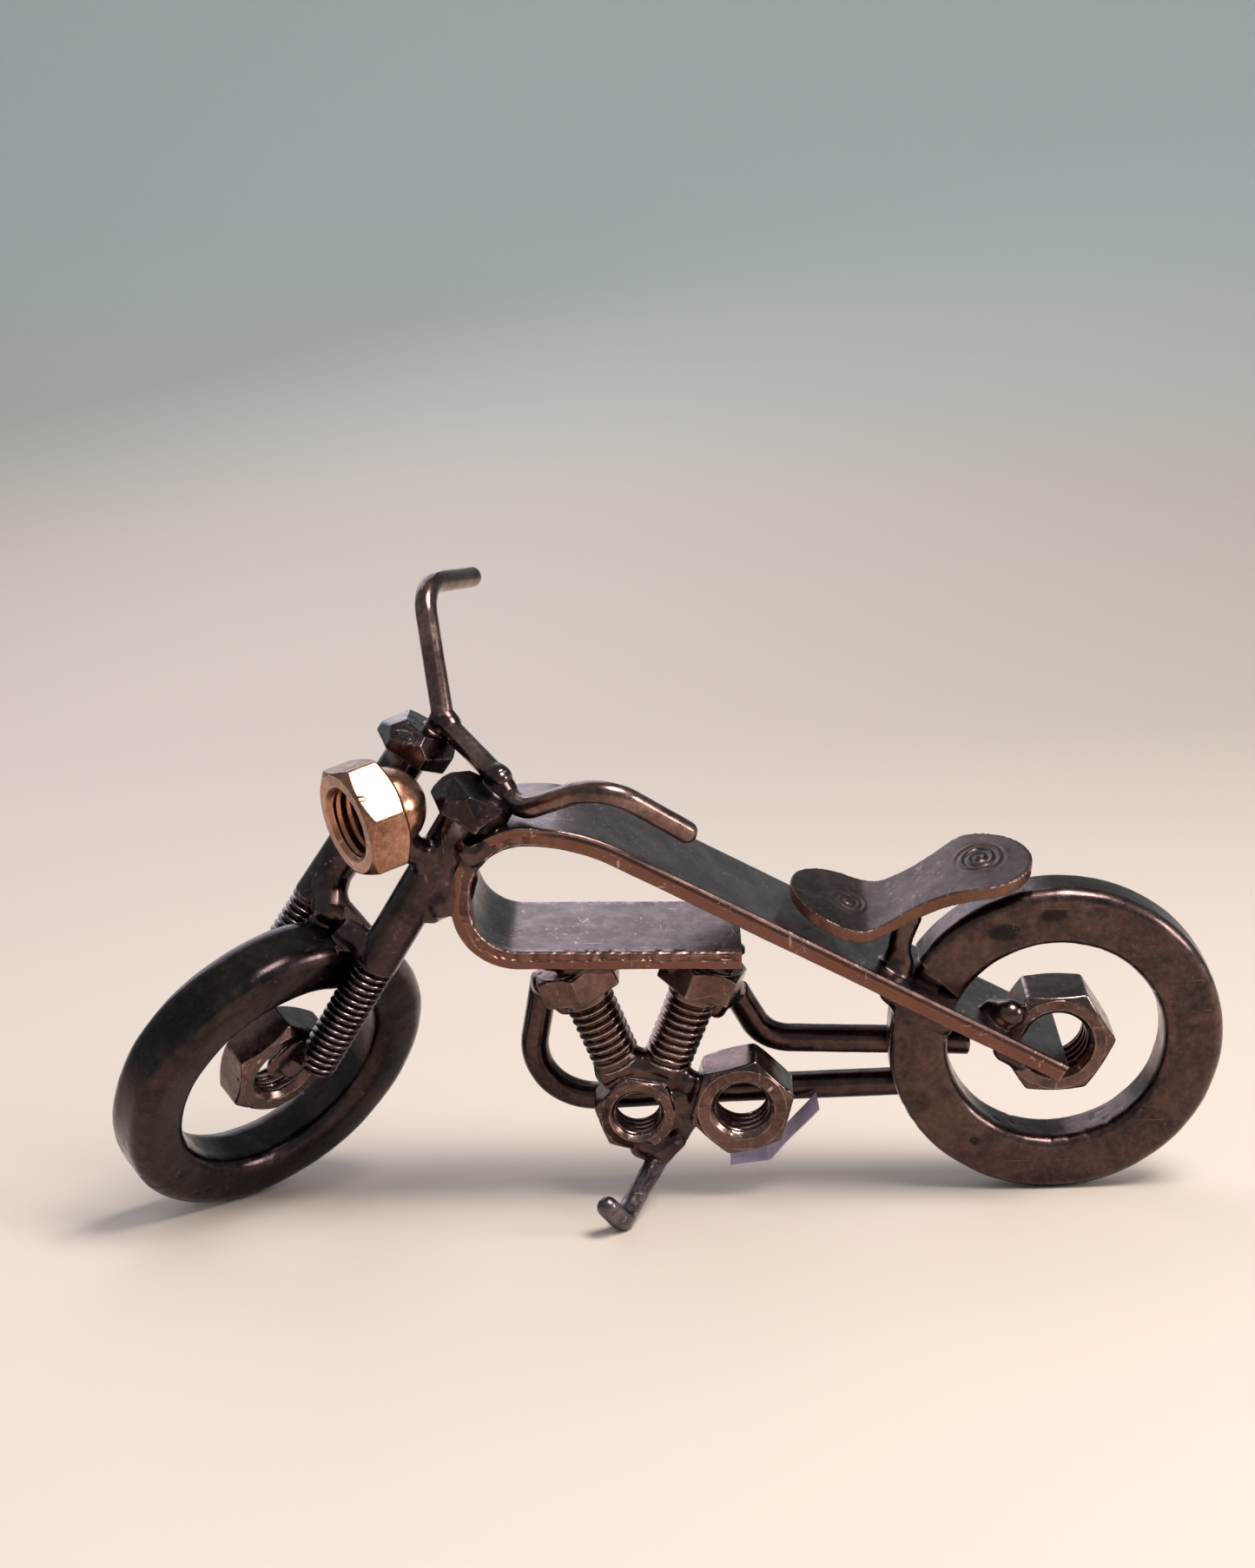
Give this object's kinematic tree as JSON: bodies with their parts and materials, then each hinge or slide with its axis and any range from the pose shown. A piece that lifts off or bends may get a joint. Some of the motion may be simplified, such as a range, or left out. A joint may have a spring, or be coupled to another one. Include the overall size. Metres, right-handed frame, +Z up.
{
  "type": "welded nut and bolt motorcycle sculpture",
  "caption": "Small chopper motorcycle sculpture welded from nuts, bolts, bent flat bar, rod and steel rings, leaning on its kickstand.",
  "frame": {"origin": "on the ground under the middle of the bounding box, the bike standing on both rings and its kickstand", "axes": "+X forward, from the rear ring to the front ring; +Y to the rider's left, the side of the kickstand, towards which the bike leans; +Z up"},
  "size_m": [0.2044, 0.0622, 0.1192],
  "materials": {
    "flat_bar_steel": "clear-lacquered dark brown-violet steel, satin, sawn and sheared edges warmer brown",
    "rear_ring_steel": "dark bronze-brown lacquered spring steel, satin, scuffed",
    "front_ring_steel": "near-black brown lacquered forged ring, satin, rust specks",
    "nut_steel": "dark grey-brown lacquered nut, bright bevels",
    "coppery_nut": "bare copper-tinged steel under gloss lacquer",
    "fork_bolt_steel": "black-brown lacquered bolt, glossy thread",
    "cylinder_bolt_steel": "grey-brown lacquered bolt, bright thread crests",
    "pipe_steel": "dark brown lacquered round bar",
    "rod_steel": "brown-grey lacquered wire rod, glossy",
    "kickstand_steel": "grey rough hammered rod",
    "seat_steel": "dark grey-brown lacquered plate with turned rings and rust specks",
    "weld_bead": "smooth glossy dark brown weld metal under lacquer",
    "label_paper": "plain lilac paper label, blank"
  },
  "bodies": {
    "root": {"blank_label": "label_paper", "crankcase_nut_front": "nut_steel", "crankcase_nut_rear": "nut_steel", "exhaust_pipe_lower": "pipe_steel", "exhaust_pipe_upper": "pipe_steel", "fork_bolt_left": "fork_bolt_steel", "fork_bolt_right": "fork_bolt_steel", "fork_brace": "rod_steel", "frame_strap": "flat_bar_steel", "front_axle_nut": "nut_steel", "front_cylinder_bolt": "cylinder_bolt_steel", "front_wheel_ring": "front_ring_steel", "handlebar_crossbar": "rod_steel", "handlebar_left": "rod_steel", "handlebar_right": "rod_steel", "headlight_bowl": "coppery_nut", "headlight_nut": "coppery_nut", "kickstand": "kickstand_steel", "rear_axle_nut": "nut_steel", "rear_cylinder_bolt": "cylinder_bolt_steel", "rear_wheel_ring": "rear_ring_steel", "seat_plate": "seat_steel", "seat_post": "weld_bead", "weld_crankcase_saddle": "weld_bead", "weld_crankcase_seam": "weld_bead", "weld_cylinder_bridge": "weld_bead", "weld_cylinder_front": "weld_bead", "weld_cylinder_rear": "weld_bead", "weld_exhaust_front": "weld_bead", "weld_exhaust_rear": "weld_bead", "weld_fork_brace_left": "weld_bead", "weld_fork_brace_right": "weld_bead", "weld_fork_frame": "weld_bead", "weld_front_axle": "weld_bead", "weld_handlebar_left": "weld_bead", "weld_handlebar_right": "weld_bead", "weld_headlight": "weld_bead", "weld_kickstand": "weld_bead", "weld_rear_axle_lower": "weld_bead", "weld_rear_axle_upper": "weld_bead", "weld_rear_wheel_over": "weld_bead", "weld_rear_wheel_under": "weld_bead"}
  },
  "joints": []
}
